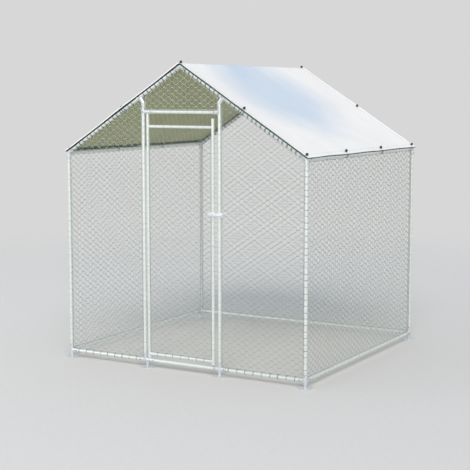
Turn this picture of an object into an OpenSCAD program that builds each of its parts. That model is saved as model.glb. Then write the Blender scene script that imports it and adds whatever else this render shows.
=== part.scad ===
// Walk-in poultry run: a galvanised tube frame with a gable roof, hexagonal wire netting on
// every side and under the roof, a netted door on pin hinges and a roof cover held by ball ties.
// Lengths are millimetres and +Z is up. The front gable, with the door, faces -Y.
// The origin is on the ground under the middle of the run.

/* [Run] */
// Width between the corner post axes
run_w = 2000; // [1600:10:2400]
// Depth between the front and back post axes
run_d = 1900; // [1500:10:2400]
// Height of the eave rail axes above the ground
eave_z = 1570; // [1400:5:1900]
// Rise of the ridge axis above the eave rail axes
ridge_rise = 633; // [500:1:750]
// Height of the bottom rail axes above the ground
rail_z = 55; // [50:1:70]

/* [Tubes] */
// Outside diameter of the frame tubes
tube_d = 25; // [22:0.5:28]
// Wall of the frame tubes
tube_wall = 1.2; // [0.8:0.1:2]
// Outside diameter of the door tubes
door_tube_d = 22; // [19:0.5:25]
// Wall of the door tubes
door_tube_wall = 1.2; // [0.8:0.1:2]

/* [Fittings] */
// Wall of the sleeves that the tubes push into
sleeve_wall = 2.8; // [2:0.1:4]
// Reach of a sleeve from its joint centre to its mouth
sleeve_reach = 50; // [42:1:70]
// Metal between the sockets of one fitting, outside the sleeve radius
stop_wall = 4; // [2:0.5:6]
// How far the ball at a joint centre stands proud of its sleeves
ball_proud = 0.4; // [0.2:0.1:0.6]
// Half height of the sleeve that carries the door header on a post
header_sleeve_half = 18; // [17:0.5:22]
// Half length of the sleeve round a rafter at the top of a door post
saddle_half = 30; // [24:1:40]
// Length of the neck between a rafter axis and the bend above a door post
saddle_neck = 50; // [44:1:60]
// Reach of the sleeve over the top of a door post, from the bend
saddle_reach = 40; // [34:1:44]

/* [Screws] */
// Diameter of the set screws in the sleeves
screw_d = 5; // [4:0.5:6]
// Size of the hexagonal screw heads across their corners
screw_head_d = 9; // [8:0.5:10]
// Height of the screw heads
screw_head_h = 3.2; // [2:0.1:4]
// Distance of a set screw from the mouth of its sleeve
screw_setback = 12; // [8:0.5:15]

/* [Feet] */
// Diameter of the round foot plates
foot_d = 104; // [90:1:130]
// Thickness of the foot plates
foot_t = 4; // [3:0.5:6]
// Diameter of the spigot on a foot
spigot_d = 20; // [16:0.5:22]
// Wall of the spigot
spigot_wall = 2; // [1.5:0.1:3]
// Height of the weld cone round the spigot
foot_weld_h = 5; // [3:0.5:8]
// Height of the lower mouth of the fittings on the feet
foot_neck = 25; // [18:0.5:30]
// Number of fixing holes in each foot
foot_holes = 4; // [3:1:6]
// Diameter of the fixing holes
foot_hole_d = 9; // [6:0.5:12]
// Pitch circle of the fixing holes
foot_pcd = 76; // [64:1:90]

/* [Door] */
// Distance between the door post axes
door_bay = 640; // [560:5:800]
// Distance from the left door post to the hinge axis
hinge_offset = 38; // [36:0.5:50]
// Distance from the latch stile axis to the right door post axis
latch_offset = 55; // [52:0.5:70]
// Drop of the door header axis below the bends at the post tops
header_drop = 63; // [60:0.5:80]
// Gap between the axes of the header and the door's top rail
door_head_gap = 105; // [96:1:140]
// Rise of the door's bottom rail axis above the sill axis
door_foot_gap = 49; // [44:0.5:70]
// How far the latch stile stands above the top rail axis
stile_over = 62; // [30:1:70]
// How far the latch stile hangs below the bottom rail axis
stile_under = 28; // [14:0.5:30]
// Length of the hinge pins inside the stile
pin_len = 40; // [25:1:60]
// Shoulder under the lower hinge washer, above the sill sleeve
collar_h = 3; // [2:0.5:6]
// Thickness of the hinge washer
washer_t = 2; // [1:0.5:3]
// Rim of the hinge washer outside the stile
washer_rim = 1.5; // [0.5:0.5:3]
// Free height between the hinge stile and the header sleeve
stile_lift = 2; // [1:0.5:4]
// Thickness of the end caps on the latch stile
cap_t = 2.4; // [1.5:0.1:4]
// Depth of the end caps inside the latch stile
cap_plug = 12; // [8:1:20]

/* [Latch] */
// Height of the latch above the ground
latch_z = 1160; // [900:5:1400]
// Height of the latch plates and clamps
latch_h = 34; // [26:1:44]
// Thickness of the latch plates
latch_plate_t = 2; // [1.5:0.1:3]
// Length of the latch housing
housing_l = 57; // [54:1:60]
// How far the housing reaches behind the latch stile axis
housing_back = 28; // [26:1:34]
// Length of the keeper
keeper_l = 55; // [40:1:70]
// How far the keeper reaches from its post axis towards the door
keeper_back = 18; // [16:0.5:20]
// Diameter of the sliding bolt
bolt_d = 12; // [10:0.5:13]
// Length of the sliding bolt
bolt_l = 58; // [54:1:62]
// Travel of the sliding bolt
bolt_travel = 26; // [15:1:28]
// Wall of the barrels round the bolt
barrel_wall = 4; // [3:0.5:5]
// Gap between the drawn bolt and the keeper
bolt_tip_gap = 1; // [0.5:0.1:2]
// Diameter of the knob's stem
stem_d = 6; // [4:0.5:8]
// Distance of the stem from the bolt's tail
stem_back = 14; // [12:0.5:16]
// Length of the stem outside the barrel
stem_out = 10; // [8:0.5:12]
// Diameter of the ball knob
knob_d = 14; // [10:0.5:16]

/* [Nets] */
// Thickness of the netting
net_t = 2; // [1:0.1:3]
// Width of a strand of netting
strand_w = 5; // [2:0.5:10]
// Width of the selvage round each net
selvage_w = 8; // [4:0.5:14]
// Height of a cell of the wall nets between its flat sides
wall_cell = 270; // [200:5:400]
// Height of a cell of the roof nets between its flat sides
roof_cell = 330; // [240:5:450]

/* [Cover] */
// Thickness of the roof cover
cover_t = 1.2; // [0.8:0.1:3]
// Overhang of the cover past the eave rail axes, down the slope
eave_over = 8; // [4:1:20]
// Overhang of the cover past the gable rafters' axes
gable_over = 22; // [16:1:40]
// Distance of the eyelet centres from the cover's edges
eyelet_in = 27; // [20:1:40]
// Outside diameter of the eyelets
eyelet_d = 18; // [14:0.5:24]
// Hole in the eyelets
eyelet_hole_d = 9; // [6:0.5:12]
// Thickness of the eyelets
eyelet_t = 1; // [0.6:0.1:2]
// Number of ties along each eave
eave_ties = 4; // [2:1:6]
// Diameter of the balls on the ties
tie_ball_d = 20; // [16:0.5:28]
// Diameter of the elastic cord of the ties
tie_cord_d = 4; // [3:0.5:6]

/* [Hidden] */
$fn = 48;
// How far each cutting shape runs past the face that it opens
overrun = 1;
// Radial gap between a tube and its sleeve
fit_gap = 0.2;
// Radial gap between a hinge pin and its stile, and between the bolt and its housing
run_gap = 0.05;
// Gap between pieces that lie beside or on each other
seat_gap = 0.3;
// Radial gap round the set screws and the gap at their tips
screw_gap = 0.1;
// Extra radius of the keeper round the bolt
keeper_gap = 0.4;
// Clearance of the knob's stem in its slot
slot_gap = 0.4;
// Weld gap between the door rails and stiles
weld_gap = 0.15;
// Smallest clipped net gap that is still cut, as a share of a whole cell
least_gap_share = 0.015;
// Size of the bolt's tapered tip, as a share of its radius
tip_share = 0.3;
// Arc steps over the fold of the cover
fold_steps = 8;

tube_colour = "gainsboro";
fitting_colour = "silver";
net_colour = "darkseagreen";

half_w = run_w / 2;
half_d = run_d / 2;
front_y = -half_d;
ridge_z = eave_z + ridge_rise;
slope = atan(ridge_rise / half_w);
slope_len = norm([half_w, ridge_rise]);

tube_r = tube_d / 2;
bore_r = tube_r + fit_gap;
sleeve_r = bore_r + sleeve_wall;
ball_r = sleeve_r + ball_proud;
socket_stop = sleeve_r + stop_wall;
tube_end = socket_stop + fit_gap;
spigot_top = rail_z - stop_wall;

door_tube_r = door_tube_d / 2;
pin_r = door_tube_r - door_tube_wall - run_gap;
bay_half = door_bay / 2;
hinge_x = -bay_half + hinge_offset;
latch_x = bay_half - latch_offset;

// The bend above a door post, and the point of the rafter axis that its neck meets
bend_z = eave_z + (half_w - bay_half - saddle_neck * sin(slope)) * tan(slope) - saddle_neck * cos(slope);
saddle_x = bay_half + saddle_neck * sin(slope);
saddle_z = bend_z + saddle_neck * cos(slope);

header_z = bend_z - header_drop;
door_top_z = header_z - door_head_gap;
door_bottom_z = rail_z + door_foot_gap;
collar_z = rail_z + sleeve_r + collar_h;
washer_z = collar_z + screw_gap;
hinge_stile_z0 = washer_z + washer_t + seat_gap;
hinge_stile_z1 = header_z - sleeve_r - stile_lift;
latch_stile_z0 = door_bottom_z - stile_under;
latch_stile_z1 = door_top_z + stile_over;

keeper_bore_r = bolt_d / 2 + keeper_gap;
plate_back = bore_r;
bolt_y = front_y - plate_back - latch_plate_t - keeper_bore_r;
barrel_r = bolt_d / 2 + barrel_wall;
housing_x = latch_x - housing_back;
keeper_x = bay_half - keeper_back;
bolt_tip_x = keeper_x - bolt_tip_gap;
bolt_tail_x = bolt_tip_x - bolt_l;
stem_x = bolt_tail_x + stem_back;
slot_half = stem_d / 2 + slot_gap;

net_inset = ball_r + seat_gap;
net_bottom_z = rail_z + net_inset;
door_net_inset = door_tube_r + seat_gap;
latch_ring_inset = door_tube_r + fit_gap + sleeve_wall + seat_gap;
strand_share = 1 / sqrt(3);
column_share = sqrt(3) / 2;

cover_lift = ball_r + seat_gap;
cover_top = cover_lift + cover_t;
eyelet_top = cover_top + eyelet_t;
tie_ball_r = tie_ball_d / 2;
eyelet_hole_r = eyelet_hole_d / 2;
tie_rise = sqrt(pow(tie_ball_r + seat_gap, 2) - pow(eyelet_hole_r, 2));
tie_up = eyelet_in - eave_over;
tie_end_y = half_d + gable_over - eyelet_in;

// A corner of the run at height z: sx is -1 on the left and 1 on the right, sy is -1 in front and 1 behind
function corner(sx, sy, z) = [sx * half_w, sy * half_d, z];

// A point of the front plane
function front(x, z) = [x, front_y, z];

// The way from an eave up its rafter
function rafter_way(sx) = [-sx * cos(slope), 0, sin(slope)];

// Height of the lower edge of the roof's clear line at the distance x from the middle
function under_roof(x) = eave_z + (half_w - x) * tan(slope) - net_inset / cos(slope);

// The legs of each kind of fitting: joint centre, way out, side of the set screw and reach
function eave_legs(sx, sy) = let(c = corner(sx, sy, eave_z)) [
    [c, [0, 0, -1], [sx, 0, 0], sleeve_reach],
    [c, [0, -sy, 0], [sx, 0, 0], sleeve_reach],
    [c, rafter_way(sx), [0, sy, 0], sleeve_reach]
];
function ridge_legs(sy) = let(c = [0, sy * half_d, ridge_z]) [
    [c, -rafter_way(1), [0, sy, 0], sleeve_reach],
    [c, -rafter_way(-1), [0, sy, 0], sleeve_reach],
    [c, [0, -sy, 0], [0, 0, -1], sleeve_reach]
];
function base_legs(sx, sy) = let(c = corner(sx, sy, rail_z)) [
    [c, [0, 0, 1], [0, sy, 0], sleeve_reach],
    [c, [-sx, 0, 0], [0, sy, 0], sleeve_reach],
    [c, [0, -sy, 0], [sx, 0, 0], sleeve_reach]
];
hinge_sill_legs = [
    [front(-bay_half, rail_z), [0, 0, 1], [0, -1, 0], sleeve_reach],
    [front(-bay_half, rail_z), [-1, 0, 0], [0, -1, 0], sleeve_reach],
    [front(hinge_x, rail_z), [1, 0, 0], [0, -1, 0], sleeve_reach]
];
latch_sill_legs = [
    [front(bay_half, rail_z), [0, 0, 1], [0, -1, 0], sleeve_reach],
    [front(bay_half, rail_z), [-1, 0, 0], [0, -1, 0], sleeve_reach],
    [front(bay_half, rail_z), [1, 0, 0], [0, -1, 0], sleeve_reach]
];
hinge_header_legs = [[front(hinge_x, header_z), [1, 0, 0], [0, -1, 0], sleeve_reach]];
latch_header_legs = [[front(bay_half, header_z), [-1, 0, 0], [0, -1, 0], sleeve_reach]];
function saddle_legs(sx) = [[front(sx * bay_half, bend_z), [0, 0, -1], [0, -1, 0], saddle_reach]];

all_legs = [
    for (sx = [-1, 1], sy = [-1, 1]) each concat(eave_legs(sx, sy), base_legs(sx, sy)),
    for (sy = [-1, 1]) each ridge_legs(sy),
    for (sx = [-1, 1]) each saddle_legs(sx),
    each concat(hinge_sill_legs, latch_sill_legs, hinge_header_legs, latch_header_legs)
];

// Where the sleeves that slide along a tube have their front set screws
collar_spots = [
    front(-bay_half, header_z), front(bay_half, header_z),
    front(-saddle_x, saddle_z), front(saddle_x, saddle_z)
];

foot_spots = concat(
    [for (sx = [-1, 1], sy = [-1, 1]) [sx * half_w, sy * half_d]],
    [[-bay_half + hinge_offset / 2, front_y], [bay_half, front_y]]
);

// Turns the Z axis to the way given by a unit vector
module along(way) {
    rotate([0, acos(way[2]), atan2(way[1], way[0])])
        children();
}

// A tube from point a to point b
module pipe(a, b, d, wall) {
    span = norm(b - a);
    translate(a)
        along((b - a) / span)
            difference() {
                cylinder(h = span, d = d);
                translate([0, 0, -overrun])
                    cylinder(h = span + 2 * overrun, d = d - 2 * wall);
            }
}

// A frame tube between two joint centres, cut back to the stops of its sockets
module frame_tube(a, b) {
    way = (b - a) / norm(b - a);
    color(tube_colour)
        pipe(a + way * tube_end, b - way * tube_end, tube_d, tube_wall);
}

module corner_post(sx, sy) {
    frame_tube(corner(sx, sy, rail_z), corner(sx, sy, eave_z));
}

module rafter(sx, sy) {
    frame_tube(corner(sx, sy, eave_z), [0, sy * half_d, ridge_z]);
}

// A plain sleeve between two points
module sleeve(a, b) {
    span = norm(b - a);
    translate(a)
        along((b - a) / span)
            cylinder(h = span, r = sleeve_r);
}

// The outside of a fitting's legs
module legs_body(legs) {
    for (leg = legs)
        sleeve(leg[0], leg[0] + leg[1] * leg[3]);
}

// The sockets and screw holes of a fitting's legs
module legs_cuts(legs) {
    for (leg = legs) {
        translate(leg[0])
            along(leg[1])
                translate([0, 0, socket_stop])
                    cylinder(h = leg[3] - socket_stop + overrun, r = bore_r);
        screw_hole(leg[0] + leg[1] * (leg[3] - screw_setback), leg[2]);
    }
}

// A set screw's hole through one wall of the sleeve whose axis passes through spot
module screw_hole(spot, side) {
    translate(spot)
        along(side)
            translate([0, 0, tube_r])
                cylinder(h = sleeve_r - tube_r + overrun, d = screw_d + 2 * screw_gap);
}

module set_screw(spot, side) {
    translate(spot)
        along(side) {
            translate([0, 0, tube_r + screw_gap])
                cylinder(h = sleeve_r - tube_r, d = screw_d);
            translate([0, 0, sleeve_r + screw_gap])
                cylinder(h = screw_head_h, d = screw_head_d, $fn = 6);
        }
}

// A through bore for the tube that a sleeve slides along
module collar_bore(spot, way, half) {
    reach = half + overrun;
    translate(spot - way * reach)
        along(way)
            cylinder(h = 2 * reach, r = bore_r);
}

// The lower sleeve of a fitting over a foot, and the socket in it
module foot_sleeve(spot) {
    translate([spot[0], spot[1], foot_neck])
        cylinder(h = rail_z - foot_neck, r = sleeve_r);
}

module foot_socket(spot) {
    translate([spot[0], spot[1], foot_neck - overrun])
        cylinder(h = spigot_top + fit_gap - foot_neck + overrun, d = spigot_d + 2 * fit_gap);
}

module joint_ball(spot) {
    translate(spot)
        sphere(r = ball_r);
}

// A fitting of straight sockets round one ball
module plain_fitting(legs) {
    color(fitting_colour)
        difference() {
            union() {
                joint_ball(legs[0][0]);
                legs_body(legs);
            }
            legs_cuts(legs);
        }
}

// A fitting of straight sockets that also stands on a foot
module footed_fitting(legs) {
    color(fitting_colour)
        difference() {
            union() {
                joint_ball(legs[0][0]);
                legs_body(legs);
                foot_sleeve(legs[0][0]);
            }
            legs_cuts(legs);
            foot_socket(legs[0][0]);
        }
}

module hinge_sill_fitting() {
    color(fitting_colour)
        difference() {
            union() {
                legs_body(hinge_sill_legs);
                sleeve(front(-bay_half, rail_z), front(hinge_x, rail_z));
                foot_sleeve(foot_spots[4]);
                translate(front(hinge_x, rail_z)) {
                    cylinder(h = sleeve_r + collar_h, r = door_tube_r);
                    cylinder(h = hinge_stile_z0 - rail_z + pin_len, r = pin_r);
                }
            }
            legs_cuts(hinge_sill_legs);
            foot_socket(foot_spots[4]);
        }
}

module header_sleeve(sx) {
    sleeve(
        front(sx * bay_half, header_z - header_sleeve_half),
        front(sx * bay_half, header_z + header_sleeve_half)
    );
}

module header_cuts(sx, legs) {
    legs_cuts(legs);
    collar_bore(front(sx * bay_half, header_z), [0, 0, 1], header_sleeve_half);
    screw_hole(front(sx * bay_half, header_z), [0, -1, 0]);
}

module hinge_header_fitting() {
    color(fitting_colour)
        difference() {
            union() {
                header_sleeve(-1);
                legs_body(hinge_header_legs);
                sleeve(front(-bay_half, header_z), front(hinge_x, header_z));
                translate(front(hinge_x, hinge_stile_z1 - pin_len))
                    cylinder(h = header_z - hinge_stile_z1 + pin_len, r = pin_r);
            }
            header_cuts(-1, hinge_header_legs);
        }
}

module latch_header_fitting() {
    color(fitting_colour)
        difference() {
            union() {
                header_sleeve(1);
                legs_body(latch_header_legs);
            }
            header_cuts(1, latch_header_legs);
        }
}

// The sleeve round a rafter, with a bent neck that takes the top of a door post
module rafter_saddle(sx) {
    spot = front(sx * saddle_x, saddle_z);
    bend = front(sx * bay_half, bend_z);
    way = rafter_way(sx);
    color(fitting_colour)
        difference() {
            union() {
                sleeve(spot - way * saddle_half, spot + way * saddle_half);
                sleeve(bend, spot);
                joint_ball(bend);
                legs_body(saddle_legs(sx));
            }
            legs_cuts(saddle_legs(sx));
            collar_bore(spot, way, saddle_half);
            screw_hole(spot, [0, -1, 0]);
        }
}

module foot(spot) {
    translate([spot[0], spot[1], 0])
        difference() {
            union() {
                cylinder(h = foot_t, d = foot_d);
                translate([0, 0, foot_t])
                    cylinder(h = foot_weld_h, d1 = spigot_d + 2 * foot_weld_h, d2 = spigot_d);
                cylinder(h = spigot_top, d = spigot_d);
            }
            translate([0, 0, foot_t])
                cylinder(h = spigot_top - foot_t + overrun, d = spigot_d - 2 * spigot_wall);
            for (k = [0 : foot_holes - 1])
                rotate([0, 0, (k + 1 / 2) * 360 / foot_holes])
                    translate([foot_pcd / 2, 0, -overrun])
                        cylinder(h = foot_t + 2 * overrun, d = foot_hole_d);
        }
}

module feet() {
    color(fitting_colour)
        for (spot = foot_spots)
            foot(spot);
}

module set_screws() {
    color("darkgray") {
        for (leg = all_legs)
            set_screw(leg[0] + leg[1] * (leg[3] - screw_setback), leg[2]);
        for (spot = collar_spots)
            set_screw(spot, [0, -1, 0]);
    }
}

module hinge_washer() {
    color("dimgray")
        translate(front(hinge_x, washer_z))
            difference() {
                cylinder(h = washer_t, r = door_tube_r + washer_rim);
                translate([0, 0, -overrun])
                    cylinder(h = washer_t + 2 * overrun, r = pin_r + fit_gap);
            }
}

// The side of the line from a to b that point p lies on: positive on the left
function left_of(p, a, b) = (b[0] - a[0]) * (p[1] - a[1]) - (b[1] - a[1]) * (p[0] - a[0]);

// Where the line from p to q crosses the line through a and b
function crossing(p, q, a, b) = let(sp = left_of(p, a, b), sq = left_of(q, a, b)) p + (q - p) * sp / (sp - sq);

// The stretch of one side of a cell, from p to q, that lies left of the line from a to b
function kept(p, q, a, b) = left_of(q, a, b) < 0
    ? (left_of(p, a, b) < 0 ? [] : [crossing(p, q, a, b)])
    : (left_of(p, a, b) < 0 ? [crossing(p, q, a, b), q] : [q]);

function cut_by_line(cell, a, b) = len(cell) == 0 ? [] : [
    for (i = [0 : len(cell) - 1]) each kept(cell[i], cell[(i + 1) % len(cell)], a, b)
];

// A cell cut to the inside of a convex outline that runs anticlockwise
function cut_to(cell, outline, k = 0) = k == len(outline) ? cell
    : cut_to(cut_by_line(cell, outline[k], outline[(k + 1) % len(outline)]), outline, k + 1);

function area(cell) = len(cell) < 3 ? 0 : [
    for (i = [0 : len(cell) - 1]) cross(cell[i], cell[(i + 1) % len(cell)]) / 2
] * [for (p = cell) 1];

function inward(a, b) = [a[1] - b[1], b[0] - a[0]] / norm(b - a);

// A convex outline drawn in by an even width
function drawn_in(outline, width) = [
    for (i = [0 : len(outline) - 1])
        let(
            before = outline[(i + len(outline) - 1) % len(outline)],
            after = outline[(i + 1) % len(outline)],
            n0 = inward(before, outline[i]),
            n1 = inward(outline[i], after)
        )
        outline[i] + width * (n0 + n1) / (1 + n0 * n1)
];

function hexagon(centre, r) = [for (k = [0 : 5]) centre + r * [cos(60 * k), sin(60 * k)]];

// The gaps of a net with flat-topped cells that fills a convex outline
function net_gaps(outline, cell) =
    let(
        inside = drawn_in(outline, selvage_w),
        gap_r = (cell - strand_w) * strand_share,
        low = [min([for (p = outline) p[0]]), min([for (p = outline) p[1]])],
        high = [max([for (p = outline) p[0]]), max([for (p = outline) p[1]])],
        middle = (low + high) / 2,
        columns = ceil((high[0] - low[0]) / cell / column_share / 2),
        rows = ceil((high[1] - low[1]) / cell / 2),
        least = least_gap_share * area(hexagon([0, 0], gap_r))
    )
    [
        for (i = [-columns : columns], j = [-rows : rows])
            let(
                stagger = i % 2 == 0 ? 0 : cell / 2,
                centre = middle + [i * cell * column_share, j * cell + stagger],
                gap = cut_to(hexagon(centre, gap_r), inside)
            )
            if (area(gap) > least) gap
    ];

// A flat net of hexagonal cells in the XY plane
module net(outline, cell) {
    gaps = net_gaps(outline, cell);
    rings = concat([outline], gaps);
    starts = [for (i = 0, n = 0; i < len(rings); n = n + len(rings[i]), i = i + 1) n];
    color(net_colour)
        linear_extrude(height = net_t, center = true)
            polygon(
                points = [for (ring = rings) each ring],
                paths = [for (i = [0 : len(rings) - 1]) [for (k = [0 : len(rings[i]) - 1]) starts[i] + k]]
            );
}

// Stands a flat net up in a plane square to Y
module gable_wise(y) {
    translate([0, y, 0])
        rotate([90, 0, 0])
            children();
}

// Stands a flat net up in a plane square to X
module side_wise(x) {
    translate([x, 0, 0])
        rotate([90, 0, 90])
            children();
}

// The slope of the roof on the right: X runs down the slope from the eave axis and Z is square to it
module on_slope() {
    translate([half_w, 0, eave_z])
        rotate([0, slope, 0])
            children();
}

module right_front_panel() {
    inner_x = bay_half + net_inset;
    outer_x = half_w - net_inset;
    notch_x = saddle_x + saddle_half * cos(slope);
    gable_wise(front_y)
        net([
            [inner_x, net_bottom_z],
            [outer_x, net_bottom_z],
            [outer_x, under_roof(outer_x)],
            [notch_x, under_roof(notch_x)],
            [inner_x, bend_z - saddle_reach]
        ], wall_cell);
}

module front_right_net() {
    right_front_panel();
}

module front_left_net() {
    mirror([1, 0, 0])
        right_front_panel();
}

module gable_net() {
    edge_x = bay_half - net_inset;
    gable_wise(front_y)
        net([
            [-edge_x, header_z + net_inset],
            [edge_x, header_z + net_inset],
            [edge_x, under_roof(edge_x)],
            [0, under_roof(0)],
            [-edge_x, under_roof(edge_x)]
        ], wall_cell);
}

module back_net() {
    edge_x = half_w - net_inset;
    gable_wise(half_d)
        net([
            [-edge_x, net_bottom_z],
            [edge_x, net_bottom_z],
            [edge_x, under_roof(edge_x)],
            [0, under_roof(0)],
            [-edge_x, under_roof(edge_x)]
        ], wall_cell);
}

module side_net(sx) {
    edge_y = half_d - net_inset;
    top_z = eave_z - net_inset;
    side_wise(sx * half_w)
        net([[-edge_y, net_bottom_z], [edge_y, net_bottom_z], [edge_y, top_z], [-edge_y, top_z]], wall_cell);
}

module right_slope_net() {
    edge_y = half_d - net_inset;
    ridge_x = -slope_len + net_inset;
    on_slope()
        net([[ridge_x, -edge_y], [-net_inset, -edge_y], [-net_inset, edge_y], [ridge_x, edge_y]], roof_cell);
}

module right_roof_net() {
    right_slope_net();
}

module left_roof_net() {
    mirror([1, 0, 0])
        right_slope_net();
}

// The cross section of the cover's right half at a distance out from the rafter axes
function cover_line(out) = concat(
    [[half_w, eave_z] + eave_over * [cos(slope), -sin(slope)] + out * [sin(slope), cos(slope)]],
    [for (k = [fold_steps : -1 : 0]) [0, ridge_z] + out * [sin(slope * k / fold_steps), cos(slope * k / fold_steps)]]
);

function across(points) = [for (k = [len(points) - 2 : -1 : 0]) [-points[k][0], points[k][1]]];

function whole_line(out) = concat(cover_line(out), across(cover_line(out)));

// Puts a copy of its children at each tie of the cover, with Z square to the cover and 0 at the rafter axes
module at_ties() {
    for (flip = [0, 1])
        mirror([flip, 0, 0])
            on_slope() {
                for (k = [0 : eave_ties - 1])
                    translate([-tie_up, -tie_end_y + k * 2 * tie_end_y / (eave_ties - 1), 0])
                        children();
                for (sy = [-1, 1])
                    translate([-slope_len / 2, sy * tie_end_y, 0])
                        children();
            }
    for (sy = [-1, 1])
        translate([0, sy * tie_end_y, ridge_z])
            children();
}

module roof_cover() {
    upper = whole_line(cover_top);
    lower = whole_line(cover_lift);
    edge_y = half_d + gable_over;
    color("white")
        difference() {
            gable_wise(edge_y)
                linear_extrude(height = 2 * edge_y)
                    polygon(concat(upper, [for (k = [len(lower) - 1 : -1 : 0]) lower[k]]));
            at_ties()
                translate([0, 0, cover_lift - overrun])
                    cylinder(h = cover_t + 2 * overrun, d = eyelet_hole_d);
        }
}

module cover_eyelets() {
    color("darkgray")
        at_ties()
            translate([0, 0, cover_top])
                difference() {
                    cylinder(h = eyelet_t, d = eyelet_d);
                    translate([0, 0, -overrun])
                        cylinder(h = eyelet_t + 2 * overrun, d = eyelet_hole_d);
                }
}

module cover_ties() {
    stem_z = cover_lift + seat_gap;
    color("black")
        at_ties() {
            translate([0, 0, eyelet_top + tie_rise])
                sphere(r = tie_ball_r);
            translate([0, 0, stem_z])
                cylinder(h = eyelet_top + tie_rise - stem_z, d = tie_cord_d);
        }
}

module hinge_stile() {
    color(tube_colour)
        pipe(front(hinge_x, hinge_stile_z0), front(hinge_x, hinge_stile_z1), door_tube_d, door_tube_wall);
}

module latch_stile() {
    color(tube_colour)
        pipe(front(latch_x, latch_stile_z0), front(latch_x, latch_stile_z1), door_tube_d, door_tube_wall);
}

// A door rail at height z, with its ends cut round to fit the stiles
module door_rail(z) {
    color(tube_colour)
        difference() {
            pipe(front(hinge_x, z), front(latch_x, z), door_tube_d, door_tube_wall);
            for (x = [hinge_x, latch_x])
                translate(front(x, z - door_tube_d))
                    cylinder(h = 2 * door_tube_d, r = door_tube_r + weld_gap);
        }
}

module door_net() {
    x0 = hinge_x + door_net_inset;
    x1 = latch_x - latch_ring_inset;
    z0 = door_bottom_z + door_net_inset;
    z1 = door_top_z - door_net_inset;
    gable_wise(front_y)
        net([[x0, z0], [x1, z0], [x1, z1], [x0, z1]], wall_cell);
}

// A push-in cap, with Z running out of the end of the stile
module stile_cap() {
    translate([0, 0, screw_gap])
        cylinder(h = cap_t, r = door_tube_r);
    translate([0, 0, -cap_plug])
        cylinder(h = cap_plug + cap_t, r = door_tube_r - door_tube_wall - screw_gap);
}

module stile_caps() {
    color("dimgray") {
        translate(front(latch_x, latch_stile_z1))
            stile_cap();
        translate(front(latch_x, latch_stile_z0))
            mirror([0, 0, 1])
                stile_cap();
    }
}

// One half of the latch: a clamp round an upright at x, a plate and a barrel from x0
module latch_half(x, upright_r, x0, length, barrel_bore_r) {
    low_z = latch_z - latch_h / 2;
    difference() {
        union() {
            translate(front(x, low_z))
                cylinder(h = latch_h, r = upright_r + fit_gap + sleeve_wall);
            translate([x0, front_y - plate_back - latch_plate_t, low_z])
                cube([length, latch_plate_t, latch_h]);
            translate([x0, bolt_y, latch_z])
                along([1, 0, 0])
                    cylinder(h = length, r = barrel_r);
        }
        translate(front(x, low_z - overrun))
            cylinder(h = latch_h + 2 * overrun, r = upright_r + fit_gap);
        translate([x0 - overrun, bolt_y, latch_z])
            along([1, 0, 0])
                cylinder(h = length + 2 * overrun, r = barrel_bore_r);
    }
}

module latch_keeper() {
    color(fitting_colour)
        latch_half(bay_half, tube_r, keeper_x, keeper_l, keeper_bore_r);
}

module latch_housing() {
    color(fitting_colour)
        difference() {
            latch_half(latch_x, door_tube_r, housing_x, housing_l, bolt_d / 2 + run_gap);
            translate([stem_x - slot_half, bolt_y - barrel_r - overrun, latch_z - slot_half])
                cube([bolt_travel + 2 * slot_half, barrel_r + overrun, 2 * slot_half]);
        }
}

module latch_bolt() {
    tip = tip_share * bolt_d / 2;
    color("darkgray") {
        translate([bolt_tail_x, bolt_y, latch_z])
            along([1, 0, 0]) {
                cylinder(h = bolt_l - tip, d = bolt_d);
                translate([0, 0, bolt_l - tip])
                    cylinder(h = tip, d1 = bolt_d, d2 = bolt_d - 2 * tip);
            }
        translate([stem_x, bolt_y, latch_z])
            along([0, -1, 0]) {
                cylinder(h = barrel_r + stem_out, d = stem_d);
                translate([0, 0, barrel_r + stem_out])
                    sphere(d = knob_d);
            }
    }
}

module door_sill() {
    frame_tube(front(hinge_x, rail_z), front(bay_half, rail_z));
}

module door_header() {
    frame_tube(front(hinge_x, header_z), front(bay_half, header_z));
}

module door_post(sx) {
    frame_tube(front(sx * bay_half, rail_z), front(sx * bay_half, bend_z));
}

module front_rail(sx) {
    frame_tube(front(sx * bay_half, rail_z), front(sx * half_w, rail_z));
}

// A rail along one side of the run at height z
module side_rail(sx, z) {
    frame_tube(corner(sx, -1, z), corner(sx, 1, z));
}

corner_post(-1, -1);  // front_left_post
corner_post(1, -1);  // front_right_post
corner_post(-1, 1);  // back_left_post
corner_post(1, 1);  // back_right_post
door_post(-1);  // left_door_post
door_post(1);  // right_door_post
front_rail(-1);  // front_left_rail
front_rail(1);  // front_right_rail
door_sill();
frame_tube(corner(-1, 1, rail_z), corner(1, 1, rail_z));  // back_rail
side_rail(-1, rail_z);  // left_rail
side_rail(1, rail_z);  // right_rail
side_rail(-1, eave_z);  // left_eave_rail
side_rail(1, eave_z);  // right_eave_rail
frame_tube([0, -half_d, ridge_z], [0, half_d, ridge_z]);  // ridge_rail
rafter(-1, -1);  // front_left_rafter
rafter(1, -1);  // front_right_rafter
rafter(-1, 1);  // back_left_rafter
rafter(1, 1);  // back_right_rafter
door_header();
plain_fitting(eave_legs(-1, -1));  // front_left_eave_fitting
plain_fitting(eave_legs(1, -1));  // front_right_eave_fitting
plain_fitting(eave_legs(-1, 1));  // back_left_eave_fitting
plain_fitting(eave_legs(1, 1));  // back_right_eave_fitting
plain_fitting(ridge_legs(-1));  // front_ridge_fitting
plain_fitting(ridge_legs(1));  // back_ridge_fitting
footed_fitting(base_legs(-1, -1));  // front_left_base_fitting
footed_fitting(base_legs(1, -1));  // front_right_base_fitting
footed_fitting(base_legs(-1, 1));  // back_left_base_fitting
footed_fitting(base_legs(1, 1));  // back_right_base_fitting
hinge_sill_fitting();
footed_fitting(latch_sill_legs);  // latch_sill_fitting
hinge_header_fitting();
latch_header_fitting();
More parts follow.
